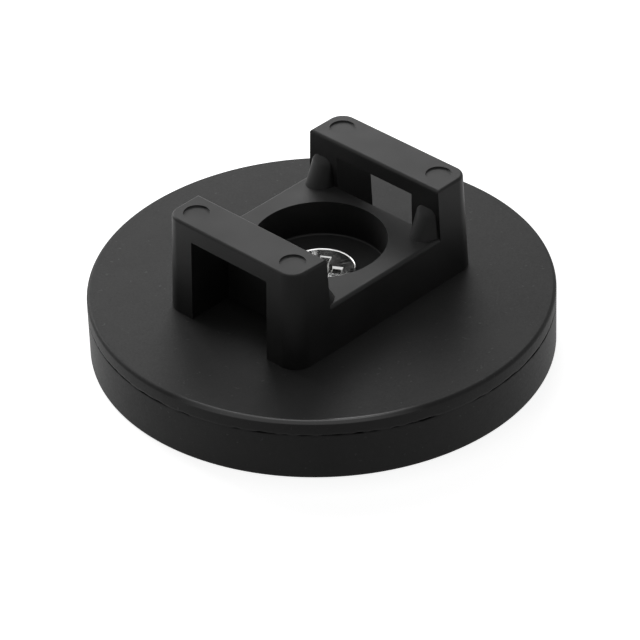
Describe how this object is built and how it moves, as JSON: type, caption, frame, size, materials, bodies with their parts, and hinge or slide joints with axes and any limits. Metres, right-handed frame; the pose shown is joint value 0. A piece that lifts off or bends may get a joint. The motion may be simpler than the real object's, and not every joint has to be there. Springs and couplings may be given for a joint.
{
  "type": "magnetic cable tie mount",
  "caption": "Round rubber-coated magnet disc with a moulded two-arch saddle screwed on top, for strapping cables with a tie.",
  "frame": {"origin": "centre of the disc's underside, where it meets the steel surface that it clings to", "axes": "+Z out of the surface, along the disc's axis and the screw; +X with the tie, through both arches; +Y along the bars of the arches"},
  "size_m": [0.043, 0.043, 0.016],
  "materials": {
    "nylon": "satin black moulded nylon",
    "plated_steel": "bright zinc-plated steel",
    "rubber": "matte black rubber with a fine mould grain",
    "bare_steel": "plain steel",
    "magnet_nickel": "nickel-plated neodymium"
  },
  "bodies": {
    "root": {"saddle": "nylon", "screw": "plated_steel", "rubber_jacket": "rubber", "steel_plate": "bare_steel", "threaded_bush": "bare_steel", "magnet_1": "magnet_nickel", "magnet_2": "magnet_nickel", "magnet_3": "magnet_nickel", "magnet_4": "magnet_nickel", "magnet_5": "magnet_nickel", "magnet_6": "magnet_nickel", "magnet_7": "magnet_nickel", "magnet_8": "magnet_nickel"}
  },
  "joints": []
}
